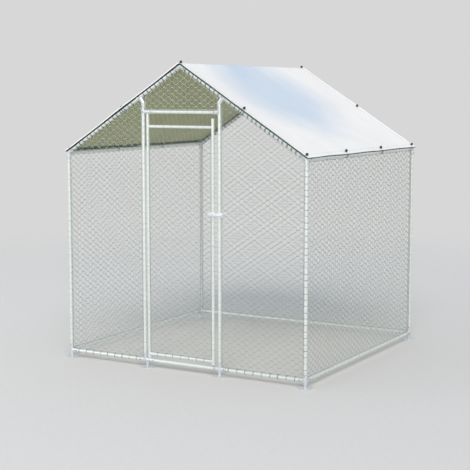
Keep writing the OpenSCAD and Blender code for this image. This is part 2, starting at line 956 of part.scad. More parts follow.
rafter_saddle(-1);  // left_rafter_saddle
rafter_saddle(1);  // right_rafter_saddle
feet();
set_screws();
hinge_washer();
latch_keeper();
front_left_net();
front_right_net();
gable_net();
side_net(-1);  // left_net
side_net(1);  // right_net
back_net();
left_roof_net();
right_roof_net();
roof_cover();
cover_eyelets();
cover_ties();
hinge_stile();
latch_stile();
door_rail(door_top_z);  // door_top_rail
door_rail(door_bottom_z);  // door_bottom_rail
door_net();
stile_caps();
latch_housing();
latch_bolt();
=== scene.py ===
# %% [markdown]
# # A walk-in poultry run
# The run is a little house of galvanised tube with wire netting on every side, a netted door and a white
# roof cover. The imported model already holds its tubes, fittings, feet and latch at their real size, in
# metres, with +Z up and the door facing -Y. This lesson gives them their finish, and makes what a solid
# model leaves plain: netting, lacing wire, cloth and elastic ties.

# %% Load the frame
import math

import bpy
import numpy as np
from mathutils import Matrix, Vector


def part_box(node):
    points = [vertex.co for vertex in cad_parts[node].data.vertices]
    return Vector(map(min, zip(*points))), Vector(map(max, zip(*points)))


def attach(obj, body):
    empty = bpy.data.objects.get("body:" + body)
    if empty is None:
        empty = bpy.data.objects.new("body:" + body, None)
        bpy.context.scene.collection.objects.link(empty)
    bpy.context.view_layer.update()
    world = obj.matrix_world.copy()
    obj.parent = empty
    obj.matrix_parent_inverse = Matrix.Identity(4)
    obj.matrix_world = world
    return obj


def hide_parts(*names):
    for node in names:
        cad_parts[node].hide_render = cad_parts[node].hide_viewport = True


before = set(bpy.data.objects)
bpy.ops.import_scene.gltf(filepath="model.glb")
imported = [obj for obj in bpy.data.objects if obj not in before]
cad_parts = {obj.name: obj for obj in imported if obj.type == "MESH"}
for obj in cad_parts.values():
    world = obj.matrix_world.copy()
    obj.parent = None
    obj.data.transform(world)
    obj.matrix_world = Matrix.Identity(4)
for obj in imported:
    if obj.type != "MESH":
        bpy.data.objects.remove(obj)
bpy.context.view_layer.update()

# %% [markdown]
# ## The lines of the frame
# Everything that follows hangs on the axes of the tubes. Typing them in again would be a second source
# of truth, so they are measured on the solids instead. The middle of a tube's box is a point of its
# axis.


# %% Measure the tube axes
def middle(node):
    """The middle of a solid's box."""
    low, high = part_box(node)
    return (low + high) / 2


half_w = middle("right_eave_rail").x
half_d = middle("back_rail").y
eave_z = middle("right_eave_rail").z
ridge_z = middle("ridge_rail").z
rail_z = middle("back_rail").z
header_z = middle("door_header").z
latch_z = middle("latch_keeper").z
door_bottom_z = middle("door_bottom_rail").z
door_top_z = middle("door_top_rail").z
hinge_x = middle("hinge_stile").x
latch_x = middle("latch_stile").x
post_x = middle("right_door_post").x
tube_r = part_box("ridge_rail")[1].x
door_tube_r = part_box("hinge_stile")[1].x - hinge_x
net_inset = half_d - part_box("left_net")[1].y
roof_rise = ridge_z - eave_z
slope = math.atan2(roof_rise, half_w)
slope_len = math.hypot(half_w, roof_rise)
print(f"Frame {2 * half_w:.2f} m wide, {2 * half_d:.2f} m deep, ridge at {ridge_z:.2f} m")

# %% [markdown]
# ## The camera
# The picture was taken from standing height, to the right of the door. A camera is solved from it by
# matching the ends of the posts, rails and ridge, and only the result is needed here: where it stands,
# the way it turns and how long its lens is. The picture is square, so one sensor width serves both ways.

# %% Set up the camera
camera_place = Vector((4.578, -8.134, 2.012))
camera_yaw = math.radians(29.92)
camera_pitch = math.radians(-6.78)
camera_data = bpy.data.cameras.new("camera")
camera_data.sensor_width = 36.0
camera_data.lens = 91.47
camera = bpy.data.objects.new("camera", camera_data)
camera.location = camera_place
camera.rotation_euler = (math.pi / 2 + camera_pitch, 0, camera_yaw)
bpy.context.scene.collection.objects.link(camera)
bpy.context.scene.camera = camera
bpy.context.scene.view_settings.view_transform = "Standard"
print("Camera at", tuple(camera_place), "lens", camera_data.lens, "mm")

# %% [markdown]
# ## Finishes are small node graphs
# A finish here always starts with the principled shader. Values that are the same all over go straight
# on its sockets, and only what changes from place to place is wired: spangle, weave, dirt. The helpers
# below keep each finish to a few lines. Textures use object coordinates, because the solids have no
# unwrapped surface, and their objects sit at the origin, so one unit is one metre everywhere.


# %% Helpers for finishes
def fill(finish, node, sockets):
    """Gives each socket of a node a value or another node's output."""
    for name, value in sockets.items():
        if isinstance(value, bpy.types.NodeSocket):
            finish.node_tree.links.new(value, node.inputs[name])
        else:
            node.inputs[name].default_value = value


def to_shader(finish, **sockets):
    """Fills sockets of the finish's principled shader."""
    shader = finish.node_tree.nodes["Principled BSDF"]
    fill(finish, shader, {name.replace("_", " "): value for name, value in sockets.items()})


def new_finish(name, **constants):
    """A material whose principled shader has these socket values."""
    finish = bpy.data.materials.new(name)
    finish.use_nodes = True
    to_shader(finish, **constants)
    return finish


def put(finish, kind, sockets=None, **settings):
    """Adds a node with these settings and sockets."""
    node = finish.node_tree.nodes.new(kind)
    for name, value in settings.items():
        setattr(node, name, value)
    fill(finish, node, sockets or {})
    return node


print("Finishes start from the principled shader")


# %% Helpers for patterns
def object_place(finish):
    """Object coordinates, in metres."""
    return put(finish, "ShaderNodeTexCoord").outputs["Object"]


def noise(finish, scale, detail):
    """A soft noise, with so many lumps to the metre."""
    sockets = {"Vector": object_place(finish), "Scale": scale, "Detail": detail}
    return put(finish, "ShaderNodeTexNoise", sockets).outputs["Fac"]


def grey(level):
    """A neutral colour."""
    return (level, level, level)


def ramp(finish, factor, *stops):
    """A colour ramp over factor. Each stop is a place and a colour."""
    node = put(finish, "ShaderNodeValToRGB", {"Fac": factor})
    elements = node.color_ramp.elements
    while len(elements) < len(stops):
        elements.new(0.5)
    for element, (place, colour) in zip(elements, stops):
        element.position = place
        element.color = (*colour, 1)
    return node.outputs["Color"]


def mixed(finish, share, first, second):
    """The first colour, with a share of the second."""
    sockets = {"Factor": share, "A": first, "B": second}
    return put(finish, "ShaderNodeMix", sockets, data_type="RGBA").outputs["Result"]


def faded(finish, value, start, end, top=1.0, **settings):
    """A share that goes from nothing at the start value to top at the end value."""
    sockets = {"Value": value, "From Min": start, "From Max": end, "To Max": top}
    return put(finish, "ShaderNodeMapRange", sockets, **settings).outputs["Result"]


def bumped(finish, height, strength, depth):
    """The way out of a surface that has a relief of this depth."""
    sockets = {"Height": height, "Strength": strength, "Distance": depth}
    return put(finish, "ShaderNodeBump", sockets).outputs["Normal"]


print("Patterns are laid out in metres")

# %% [markdown]
# ## Galvanised steel
# Steel dipped in zinc is pale, half dull and covered in spangle: flat crystals a few millimetres across,
# each of its own grey. A cell texture gives each crystal one random value, which moves the colour and
# the roughness together. A wide soft noise adds the clouds of white oxide that weather brings. Tube,
# fitting and wire are one family, so one function makes them all, with other crystal sizes and tones.
# Wire under the cover keeps its brightness, and the open walls dull to a grey green. The front walls
# reach up under the roof, so the top of their netting keeps some of its brightness too.

# %% Make the zinc finishes
# A noise is a scale and a detail, and a bump is a strength and a depth.
oxide_noise, oxide_most = (7.0, 6.0), 0.55
grain_noise, grain_bump = (420.0, 3.0), (0.06, 0.001)
smoother, rougher = 0.08, 0.1
new_zinc = (0.78, 0.85, 0.76, 1)
top_fade = 0.15
weathered = ((0.30, 0.36, 0.31), (0.44, 0.51, 0.45))


def zinc_finish(name, dark, light, crystals, roughness, metallic, bright_top=0.0):
    """Galvanised steel with so many crystals to the metre, and a share of new zinc above the eaves."""
    finish = new_finish(name, Metallic=metallic)
    cells = {"Vector": object_place(finish), "Scale": crystals}
    spangle = put(finish, "ShaderNodeTexVoronoi", cells).outputs["Color"]
    crystal = put(finish, "ShaderNodeRGBToBW", {"Color": spangle}).outputs["Val"]
    clean = ramp(finish, crystal, (0.2, dark), (0.8, light))
    clouds = noise(finish, *oxide_noise)
    oxide = [(low + 2 * high) / 3 for low, high in zip(dark, light)]
    oxide_share = ramp(finish, clouds, (0.45, grey(0.0)), (0.75, grey(oxide_most)))
    colour = mixed(finish, oxide_share, clean, (*oxide, 1))
    if bright_top:
        height = put(finish, "ShaderNodeSeparateXYZ", {"Vector": object_place(finish)}).outputs["Z"]
        share = faded(finish, height, eave_z - top_fade, eave_z, bright_top)
        colour = mixed(finish, share, colour, new_zinc)
    dull = ramp(finish, crystal, (0.1, grey(roughness - smoother)), (0.9, grey(roughness + rougher)))
    relief = bumped(finish, noise(finish, *grain_noise), *grain_bump)
    to_shader(finish, Base_Color=colour, Roughness=dull, Normal=relief)
    return finish


# The tube zinc's faint mint tint is a painted reflection of green surroundings over its pale grey.
tube_zinc_and_mint_reflection = zinc_finish("galvanised tube", (0.76, 0.81, 0.78), (0.87, 0.905, 0.872), 130, 0.36, 0.6)
fitting_zinc = zinc_finish("galvanised fitting", (0.68, 0.71, 0.73), (0.79, 0.82, 0.84), 110, 0.33, 0.7)
wire_zinc = zinc_finish("galvanised wire", *weathered, 160, 0.45, 0.5)
front_zinc = zinc_finish("front wire", *weathered, 160, 0.45, 0.5, bright_top=0.5)
sheltered_zinc = zinc_finish("sheltered wire", (0.62, 0.67, 0.60), (0.78, 0.83, 0.76), 160, 0.4, 0.5)
# The lacing wire is dark partly with dirt and partly as painted shade between its tight turns; the sleeve
# mouths' shadow rings use it too.
dirt_and_shade_zinc = zinc_finish("lacing wire", (0.24, 0.27, 0.27), (0.40, 0.44, 0.43), 160, 0.5, 0.5)
tie_zinc = zinc_finish("thin lacing wire", (0.46, 0.50, 0.49), (0.62, 0.66, 0.64), 160, 0.45, 0.6)
latch_zinc = zinc_finish("latch plating", (0.78, 0.80, 0.81), (0.87, 0.89, 0.90), 220, 0.36, 0.35)
screw_steel = zinc_finish("screw steel", (0.36, 0.38, 0.40), (0.50, 0.52, 0.54), 200, 0.35, 0.85)
print("Zinc finishes made")

# %% [markdown]
# ## Dress the solids
# The tubes, fittings, feet and latch are right as they are, so they keep their meshes and only change
# finish. A finish goes in the slots of the solid's own mesh. Black caps and ties are moulded plastic,
# with a fine sandy grain from the mould.

# %% Make the plastic and dress the solids
sandy_noise, sandy_bump = (900.0, 2.0), (0.15, 0.0006)
smear_noise, smear_paler = (60.0, 4.0), 1.8


def moulded_black(name, level, roughness):
    """Black plastic with a grain and slightly uneven gloss."""
    finish = new_finish(name)
    smear = noise(finish, *smear_noise)
    colour = ramp(finish, smear, (0.3, grey(level)), (0.7, grey(level * smear_paler)))
    gloss = ramp(finish, smear, (0.3, grey(roughness - smoother)), (0.7, grey(roughness + rougher)))
    relief = bumped(finish, noise(finish, *sandy_noise), *sandy_bump)
    to_shader(finish, Base_Color=colour, Roughness=gloss, Normal=relief)
    return finish


ball_black = moulded_black("black ball plastic", 0.012, 0.34)
cap_black = moulded_black("black cap plastic", 0.03, 0.5)


def dress(node, finish):
    """Gives a solid another finish."""
    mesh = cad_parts[node].data
    mesh.materials.clear()
    mesh.materials.append(finish)


fittings = [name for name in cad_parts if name.endswith(("_fitting", "_saddle"))]
tube_ends = ("_post", "_rail", "_rafter", "_stile", "_sill", "_header")
tubes = [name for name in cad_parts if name.endswith(tube_ends)]
for name in tubes:
    dress(name, tube_zinc_and_mint_reflection)
for name in fittings + ["feet", "hinge_washer"]:
    dress(name, fitting_zinc)
for name in ("latch_keeper", "latch_housing", "latch_bolt"):
    dress(name, latch_zinc)
dress("set_screws", screw_steel)
dress("cover_eyelets", screw_steel)
dress("stile_caps", cap_black)
print(len(tubes), "tubes and", len(fittings), "fittings dressed")

# %% [markdown]
# ## Wire is a swept ring
# Netting, lacing, welds and elastic are all round stuff that follows a line. A bevelled curve would draw
# each, but there are thousands of short wires, so they are swept with arrays: a ring of points is set
# square to the line at each step, and neighbouring rings are joined by four-sided faces. Many wires go
# into one mesh.

# %% Helpers for ways and angles
x_way, y_way, z_way = (1, 0, 0), (0, 1, 0), (0, 0, 1)


def unit(vectors):
    """Vectors scaled to length one."""
    return vectors / np.linalg.norm(vectors, axis=-1, keepdims=True)


def full_turn(steps):
    """Angles of even steps round a circle."""
    return 2 * np.pi * np.arange(steps) / steps


def around(turn, first, second):
    """Ways at these angles from the first way, turning towards the second."""
    return np.cos(turn)[..., None] * np.asarray(first) + np.sin(turn)[..., None] * np.asarray(second)


def bell(away, width):
    """One at the middle, dying away over a width to both sides."""
    return np.exp(-((away / width) ** 2))


def wrapped(angle):
    """Angles brought within half a turn of zero."""
    return np.angle(np.exp(1j * angle))


print("Four even steps are at", np.degrees(full_turn(4)), "degrees")


# %% Helpers for swept wire
def ring_faces(index):
    """Four-sided faces between the rings of wires. index is wire, step, place in ring."""
    here, there = index[:, :-1], index[:, 1:]
    walls = np.stack([here, np.roll(here, -1, 2), np.roll(there, -1, 2), there], -1)
    return walls.reshape(-1, 4)


def end_faces(index):
    """Flat ends of wires with an even number of sides."""
    sides = index.shape[2]
    caps = []
    for k in range(1, sides - 2, 2):
        caps.append(index[:, 0][:, [0, k + 2, k + 1, k]])
        caps.append(index[:, -1][:, [0, k, k + 1, k + 2]])
    return np.concatenate(caps)


def sweep(lines, towards, radius, sides=4, closed=False):
    """Round wires along lines, an array of wire, step, xyz. towards is a way that no line runs in."""
    if closed:
        along = np.roll(lines, -1, 1) - np.roll(lines, 1, 1)
    else:
        along = np.gradient(lines, axis=1)
    along = unit(along)
    out = np.broadcast_to(towards, lines.shape)
    out = unit(out - (out * along).sum(-1, keepdims=True) * along)
    ring = around(full_turn(sides), out[:, :, None], np.cross(along, out)[:, :, None])
    radius = np.broadcast_to(radius, lines.shape[:2])
    points = lines[:, :, None] + radius[:, :, None, None] * ring
    index = np.arange(points.size // 3).reshape(points.shape[:3])
    if closed:
        faces = ring_faces(np.concatenate([index, index[:, :1]], 1))
    else:
        faces = np.concatenate([ring_faces(index), end_faces(index)])
    return points.reshape(-1, 3), faces


def joined(parts):
    """Several lots of points and faces as one."""
    points, faces, count = [], [], 0
    for part_points, part_faces in parts:
        points.append(part_points)
        faces.append(part_faces + count)
        count += len(part_points)
    return np.concatenate(points), np.concatenate(faces)


straight_wire = np.array([[[0.0, 0.0, 0.0], [0.0, 0.0, 1.0]]])
print("A straight wire has", len(sweep(straight_wire, x_way, 0.001)[1]), "faces")


# %% Helper for new pieces
def add_piece(name, points, faces, finish, body, slot):
    """A smooth mesh piece that rides on a body."""
    mesh = bpy.data.meshes.new(name)
    mesh.vertices.add(len(points))
    mesh.vertices.foreach_set("co", np.asarray(points, np.float32).ravel())
    mesh.loops.add(faces.size)
    mesh.loops.foreach_set("vertex_index", np.asarray(faces, np.int32).ravel())
    mesh.polygons.add(len(faces))
    mesh.polygons.foreach_set("loop_start", np.arange(0, faces.size, faces.shape[1], dtype=np.int32))
    mesh.update(calc_edges=True)
    mesh.validate()
    mesh.shade_smooth()
    mesh.materials.append(finish)
    piece = bpy.data.objects.new(name, mesh)
    bpy.context.scene.collection.objects.link(piece)
    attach(piece, body)
    return piece


# %% [markdown]
# ## Hexagonal netting
# Poultry netting is woven from wires that zigzag side by side. Where two meet they are wound round each
# other for one turn, then they part again, and the gaps become hexagons. Here the twists lie level, so
# the cells point left and right. One twist and the two wires that leave it are worked out as a formula,
# and the pattern is a grid of twists with every other place left out. Each short stretch of wire is then
# cut to the outline of the panel. A gentle wave keeps the netting from looking like a printed sheet.


# %% Helpers for outlines
def rectangle(low_u, low_v, high_u, high_v):
    """A rectangular outline."""
    return np.array([(low_u, low_v), (high_u, low_v), (high_u, high_v), (low_u, high_v)])


def inward_ways(outline):
    """The way into a convex outline from each of its sides."""
    way = unit(np.roll(outline, -1, 0) - outline)
    return np.stack([-way[:, 1], way[:, 0]], -1)


def inside_of(outline, points):
    """Distance of points from each side of a convex outline, positive inside."""
    return ((points[:, None, :2] - outline) * inward_ways(outline)).sum(-1)


def shrunk(outline, gap):
    """A convex outline with every side moved in by a gap."""
    after = inward_ways(outline)
    before = np.roll(after, 1, 0)
    return outline + gap * (after + before) / (1 + (after * before).sum(1, keepdims=True))


metre_square = rectangle(0, 0, 1, 1)
print("The middle of a metre square lies", inside_of(metre_square, metre_square.mean(0)[None])[0], "inside")

# %% Weave the wires
wire_r = 0.001
cell_column = 0.033
cell_half = 0.022
twist_len = 0.016
twist_steps = 4


def netting_stretches(outline):
    """The straight stretches of wire of a netting that covers an outline: starts and ends."""
    low, high = outline.min(0), outline.max(0)
    columns = np.arange(-1, int((high[0] - low[0]) / cell_column) + 2)
    rows = np.arange(-1, int((high[1] - low[1]) / cell_half) + 2)
    column, row = np.meshgrid(columns, rows, indexing="ij")
    used = (column + row) % 2 == 0
    middle_u = (low[0] + cell_column * column[used])[:, None]
    middle_v = (low[1] + cell_half * row[used])[:, None]
    share = np.arange(twist_steps + 1) / twist_steps
    starts, ends = [], []
    for side in (1, -1):
        u = middle_u + twist_len * (share - 0.5)
        v = middle_v + side * wire_r * np.cos(2 * np.pi * share)
        w = np.broadcast_to(side * wire_r * np.sin(2 * np.pi * share), u.shape)
        twist = np.stack([u, v, w], -1)
        parted_u = middle_u + cell_column - twist_len / 2
        parted_v = middle_v + side * (cell_half - wire_r)
        parted = np.stack([parted_u, parted_v, np.zeros_like(parted_u)], -1)
        wire = np.concatenate([twist, parted], 1)
        starts.append(wire[:, :-1].reshape(-1, 3))
        ends.append(wire[:, 1:].reshape(-1, 3))
    return np.concatenate(starts), np.concatenate(ends)


def cut_stretches(outline, starts, ends):
    """The parts of the stretches that lie inside an outline."""
    from_start = inside_of(outline, starts)
    from_end = inside_of(outline, ends)
    change = from_start - from_end
    place = from_start / np.where(change == 0, 1, change)
    first = np.where(from_start < 0, place, 0).max(1)
    last = np.where(from_end < 0, place, 1).min(1)
    outside = ((from_start < 0) & (from_end < 0)).any(1)
    kept = ~outside & (last > first)
    way = (ends - starts)[kept]
    return starts[kept] + first[kept, None] * way, starts[kept] + last[kept, None] * way


print(f"Cells {2 * cell_half:.3f} m high, in columns {cell_column:.3f} m apart")

# %% Turn the wires into a mesh
slant_share = 1.2
wave_height = 0.004
wave_margin = 0.15
# Each roll of the wave is its turning across, its turning up and its start
wave_rolls = ((6.1, 1.9, 0.0), (-1.1, 4.3, 0.8), (14.0, -9.0, 0.0))
wave_ripple = 0.4
hang_fullness = 0.8
weld_decimals = 6


def wave(outline, points):
    """How far the netting stands out of its plane: nothing at the edge, a soft wave inside."""
    edge = np.clip(inside_of(outline, points).min(1) / wave_margin, 0, 1)
    u, v = points[:, 0], points[:, 1]
    first, second, ripple = (np.sin(across * u + up * v + start) for across, up, start in wave_rolls)
    return wave_height * edge * edge * (3 - 2 * edge) * (first * second + wave_ripple * ripple)


def sag(outline, points, depth):
    """How far a slope's netting hangs down: nothing at its edges, most in the middle."""
    share = (points[:, :2] - outline.min(0)) / np.ptp(outline, 0)
    return depth * np.prod(np.sin(np.pi * np.clip(share, 0, 1)), 1) ** hang_fullness


def netting_mesh(outline, depth):
    """Points, in across, up and out of the panel, and faces of a netting that hangs by depth."""
    starts, ends = cut_stretches(outline, *netting_stretches(outline))
    lines = np.stack([starts, ends], 1)
    flat = lines.reshape(-1, 3)
    flat[:, 2] += wave(outline, flat) - sag(outline, flat, depth)
    ring = np.array([[0, slant_share, 0], [0, 0, 1], [0, -slant_share, 0], [0, 0, -1]]) * wire_r
    points = (lines[:, :, None] + ring).reshape(-1, 3)
    welded, index = np.unique(np.round(points, weld_decimals), axis=0, return_inverse=True)
    return welded, ring_faces(index.reshape(len(lines), 2, 4))


print("A square metre of netting has", len(netting_mesh(metre_square, 0.0)[1]), "faces")

# %% [markdown]
# ## The selvage
# Each piece of netting ends in a selvage, a pair of wires laid along its edge that the cut ends are
# turned round. It follows the outline of the panel, with the two wires slowly winding round each other.

# %% Work out the selvage
selvage_r = 0.0009
selvage_w = 4 * selvage_r
selvage_lay = 0.05
selvage_step = 0.0125


def selvage_mesh(outline):
    """Points and faces of the two wires along the sides of an outline."""
    parts = []
    for start, end in zip(outline, np.roll(outline, -1, 0)):
        length = np.linalg.norm(end - start)
        reach = np.linspace(0, length, max(3, int(length / selvage_step)))
        way = (end - start) / length
        flat = np.append(start + reach[:, None] * way, np.zeros((len(reach), 1)), 1)
        inward = (-way[1], way[0], 0)
        for phase in (0, np.pi):
            swing = around(2 * np.pi * reach / selvage_lay + phase, inward, z_way)
            parts.append(sweep((flat + selvage_r * swing)[None], z_way, selvage_r))
    return joined(parts)


print("A metre of selvage winds", 1 / selvage_lay, "times")

# %% [markdown]
# ## The panels
# A panel is an outline in a plane: across, up and a point to start from. The side panels are plain
# rectangles. The front ones stop under the rafters, so the roof's line cuts their tops, and the saddles
# at the heads of the door posts take off a corner. Outlines run anticlockwise, which the cutting relies
# on.


# %% Work out the outlines
def under_roof(x):
    """Height of the netting's edge under the rafters."""
    return eave_z + (half_w - abs(x)) * math.tan(slope) - net_inset / math.cos(slope)


def gable_outline(low_x, high_x, low_z):
    """An outline from a level edge up to the rafters, over the ridge if that lies between."""
    points = [(low_x, low_z), (high_x, low_z), (high_x, under_roof(high_x)), (0, under_roof(0))]
    points.append((low_x, under_roof(low_x)))
    return np.array(points)


def front_outline(side):
    """The outline beside a door post, cut by the roof and by the saddle at the post's head."""
    low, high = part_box("front_right_net")
    notch_x = half_w - (high.z - eave_z + net_inset / math.cos(slope)) / math.tan(slope)
    shoulder_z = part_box("right_rafter_saddle")[0].z
    points = [(low.x, low.z), (high.x, low.z), (high.x, under_roof(high.x))]
    points += [(notch_x, high.z), (low.x, shoulder_z)]
    if side < 0:
        points = [(-x, z) for x, z in reversed(points)]
    return np.array(points)


def box_outline(node, across, up):
    """A rectangle from a net's box, along two axes of the frame."""
    low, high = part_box(node)
    return rectangle(low[across], low[up], high[across], high[up])


def roof_outline():
    """A slope's rectangle: along the run, and up the slope from the eave's axis."""
    edge = half_d - net_inset
    return rectangle(-edge, net_inset, edge, slope_len - net_inset)


print(f"Netting reaches {under_roof(0):.2f} m up under the ridge")


# %% Hang the netting
def hang_net(node, outline, start, across, up, body="frame", depth=0.0, finish=wire_zinc):
    """Netting and selvage in a plane, in the place of a solid net."""
    outline = shrunk(outline, selvage_w / 2)
    across, up = Vector(across), Vector(up)
    axes = np.array([across, up, across.cross(up)])
    points, faces = netting_mesh(outline, depth)
    net = add_piece(node + "_wire", points @ axes + np.array(start), faces, finish, body, "galvanised_wire")
    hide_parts(node)
    points, faces = selvage_mesh(outline)
    add_piece(node + "_selvage", points @ axes + np.array(start), faces, finish, body, "galvanised_wire")
    return len(net.data.polygons)


gable_low, gable_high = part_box("gable_net")
back_low, back_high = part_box("back_net")
roof_up = {side: (-side * math.cos(slope), 0, math.sin(slope)) for side in (-1, 1)}
roof_down = [(side * math.cos(slope), 0, -math.sin(slope)) for side in (-1, 1)]
front_start, back_start = (0, -half_d, 0), (0, half_d, 0)
left_eave, right_eave = (-half_w, 0, eave_z), (half_w, 0, eave_z)
roof_hang = {"depth": 0.016, "finish": sheltered_zinc}
gable = gable_outline(gable_low.x, gable_high.x, gable_low.z)
back = gable_outline(back_low.x, back_high.x, back_low.z)
net_faces = [
    hang_net("front_left_net", front_outline(-1), front_start, x_way, z_way, finish=front_zinc),
    hang_net("front_right_net", front_outline(1), front_start, x_way, z_way, finish=front_zinc),
    hang_net("gable_net", gable, front_start, x_way, z_way, finish=sheltered_zinc),
    hang_net("back_net", back, back_start, x_way, z_way),
    hang_net("left_net", box_outline("left_net", 1, 2), (-half_w, 0, 0), y_way, z_way),
    hang_net("right_net", box_outline("right_net", 1, 2), (half_w, 0, 0), y_way, z_way),
    hang_net("left_roof_net", roof_outline(), left_eave, (0, -1, 0), roof_up[-1], **roof_hang),
    hang_net("right_roof_net", roof_outline(), right_eave, y_way, roof_up[1], **roof_hang),
    hang_net("door_net", box_outline("door_net", 0, 2), front_start, x_way, z_way, body="door"),
]
print("Netting faces per panel", net_faces)

# %% [markdown]
# ## Lacing
# The netting is tied to the tubes with short lengths of wire, a few turns at each mesh, which read as
# dark dashes all along the tubes. Each tie is a close coil round the tube and the selvage, so its radius
# swells where the selvage passes, and its end stands off a little. Ties differ slightly in place and
# turn; a seeded generator makes them the same in every run.

# %% Work out the lacing
turn_steps = 14
lacing_end = 0.045
keep_off_r = 0.05
place_jitter, turn_jitter = 0.003, 0.4
coil_pitch = 2.1
swell_width = 0.35
tail_share, tail_height = 0.04, 0.003
lacing_random = np.random.default_rng(7)


def lacing_ties(start, end, net_ways, radius, gap, spacing, keep_off, lacing_r, turns):
    """Points and faces of the ties along one tube, from one sleeve to the next."""
    start, end = Vector(start), Vector(end)
    way = (end - start).normalized()
    length = (end - start).length
    first = Vector(net_ways[0])
    first = (first - first.dot(way) * way).normalized()
    second = way.cross(first)
    count = int((length - 2 * lacing_end) / spacing)
    margin = (length - count * spacing) / 2
    places = margin + spacing * np.arange(count + 1)
    places += lacing_random.uniform(-place_jitter, place_jitter, count + 1)
    spots = [start + way * place for place in places]
    free = [all((spot - Vector(off)).length > keep_off_r for off in keep_off) for spot in spots]
    places = places[np.array(free)]
    begin = lacing_random.uniform(0, 2 * np.pi, len(places))[:, None]
    wound = turns + lacing_random.uniform(-turn_jitter, turn_jitter, len(places))[:, None]
    share = np.linspace(0, 1, int(turn_steps * turns))[None]
    angle = begin + 2 * np.pi * wound * share
    height = np.full(angle.shape, radius + lacing_r)
    for net_way in net_ways:
        net_way = Vector(net_way)
        heading = math.atan2(net_way.dot(second), net_way.dot(first))
        height += (gap + selvage_w) * bell(wrapped(angle - heading), swell_width)
    height += tail_height * np.clip((share - 1 + tail_share) / tail_share, 0, 1)
    along = places[:, None] + coil_pitch * lacing_r * wound * (share - 0.5)
    out = around(angle, first, second)
    lines = np.array(start) + along[..., None] * np.array(way) + height[..., None] * out
    return sweep(lines, out, lacing_r)


print("Ties keep", lacing_end, "m away from the ends of a tube")

# %% [markdown]
# Every tube is laced to the netting that it carries: a corner post to a front and a side, an eave rail
# to a side and a slope. The list says which ways the netting leaves the tube, and how far apart the
# meshes come: the height of a cell on a post, its width on a rail. Places that hold a saddle, header or
# latch are left free.

# %% Tie the netting on
post_spacing, rail_spacing, rafter_spacing = 2 * cell_half, 2 * cell_column, 0.040
# A tie is the radius of its wire, its turns and its finish
thin_tie = (0.0006, 1.5, tie_zinc)
# These ties take the dark zinc: dirt together with painted shade between the turns.
middling_tie = (0.0009, 2.0, dirt_and_shade_zinc)
strong_tie = (0.0009, 3.0, dirt_and_shade_zinc)
rafter_tie = (0.0009, 4.5, dirt_and_shade_zinc)
saddle_off = [middle("left_rafter_saddle"), middle("right_rafter_saddle")]
post_off = [(side * post_x, -half_d, height) for side in (-1, 1) for height in (header_z, latch_z)]
door_off = [(latch_x, -half_d, height) for height in (latch_z, door_top_z, door_bottom_z)]
door_off += [(hinge_x, -half_d, height) for height in (door_top_z, door_bottom_z)]
door_tubes = ("hinge_stile", "latch_stile", "door_top_rail", "door_bottom_rail")
lacings = []


def tube_line(node):
    """The ends of an upright or level tube's axis."""
    low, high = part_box(node)
    centre = (low + high) / 2
    longest = max(range(3), key=lambda k: high[k] - low[k])
    start, end = centre.copy(), centre.copy()
    start[longest], end[longest] = low[longest], high[longest]
    return start, end


def lace(node, net_ways, spacing, tie=thin_tie, line=None, keep_off=(), gap=net_inset - tube_r):
    """Ties along one tube, as one piece. gap is the room between the tube and the netting."""
    start, end = line or tube_line(node)
    body, radius = ("door", door_tube_r) if node in door_tubes else ("frame", tube_r)
    lacing_r, turns, finish = tie
    points, faces = lacing_ties(start, end, net_ways, radius, gap, spacing, keep_off, lacing_r, turns)
    lacings.append(add_piece(node + "_lacing", points, faces, finish, body, "galvanised_wire"))


for side, side_name in ((-1, "left"), (1, "right")):
    inward = (-side, 0, 0)
    under = (-side * math.sin(slope), 0, -math.cos(slope))
    for end, end_name in ((-1, "front"), (1, "back")):
        corner = f"{end_name}_{side_name}"
        facing = (0, -end, 0)
        tie = middling_tie if corner == "front_right" else thin_tie
        lace(corner + "_post", [inward, facing], post_spacing, tie)
        line = (side * half_w, end * half_d, eave_z), (0, end * half_d, ridge_z)
        off = saddle_off if end < 0 else ()
        lace(corner + "_rafter", [facing, under], rafter_spacing, rafter_tie, line, off)
    lace(f"{side_name}_door_post", [(side, 0, 0)], post_spacing, keep_off=post_off)
    lace(f"front_{side_name}_rail", [z_way], rail_spacing, strong_tie)
    lace(f"{side_name}_rail", [z_way], rail_spacing)
    lace(f"{side_name}_eave_rail", [(0, 0, -1), roof_up[side]], rail_spacing)
lace("back_rail", [z_way], rail_spacing)
lace("ridge_rail", roof_down, rail_spacing)
lace("door_header", [z_way], rail_spacing)
door_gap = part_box("door_net")[0].x - hinge_x - door_tube_r
latch_gap = latch_x - door_tube_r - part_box("door_net")[1].x
for node, net_way, spacing, tie, gap in (
    ("hinge_stile", x_way, post_spacing, thin_tie, door_gap),
    ("latch_stile", (-1, 0, 0), post_spacing, thin_tie, latch_gap),
    ("door_top_rail", (0, 0, -1), rail_spacing, thin_tie, door_gap),
    ("door_bottom_rail", z_way, rail_spacing, middling_tie, door_gap),
):
    lace(node, [net_way], spacing, tie, None, door_off, gap)
print(len(lacings), "laced tubes,", sum(len(p.data.polygons) for p in lacings), "faces")

# %% [markdown]
# ## The roof cover
# The cover is one sheet of coated cloth, white above and dull green below, folded over the ridge and
# pulled down by elastic ties at its edges. A cloth simulation would spend minutes to find what a pulled
# sheet does anyway, so the shape is written down: straight lines down each slope, an arc over the ridge
# tube, a shallow sag between the rafters, edges that draw in between the ties, and small puckers round
# each eyelet. The sheet has two faces and a rim, so that both colours are real surfaces.

# %% Lay out the cover
cover_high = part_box("roof_cover")[1]
cover_half_l = cover_high.y
fold_r = cover_high.z - ridge_z
cover_t = 0.0012
cover_mid = fold_r - cover_t / 2
eave_over = 0.008
cover_half_w = cover_mid * slope + slope_len + eave_over
eyelet_in = 0.027
eave_tie_count = 4
tie_reach = cover_half_l - eyelet_in
eave_bay = 2 * tie_reach / (eave_tie_count - 1)
gable_bay = cover_half_w / 2


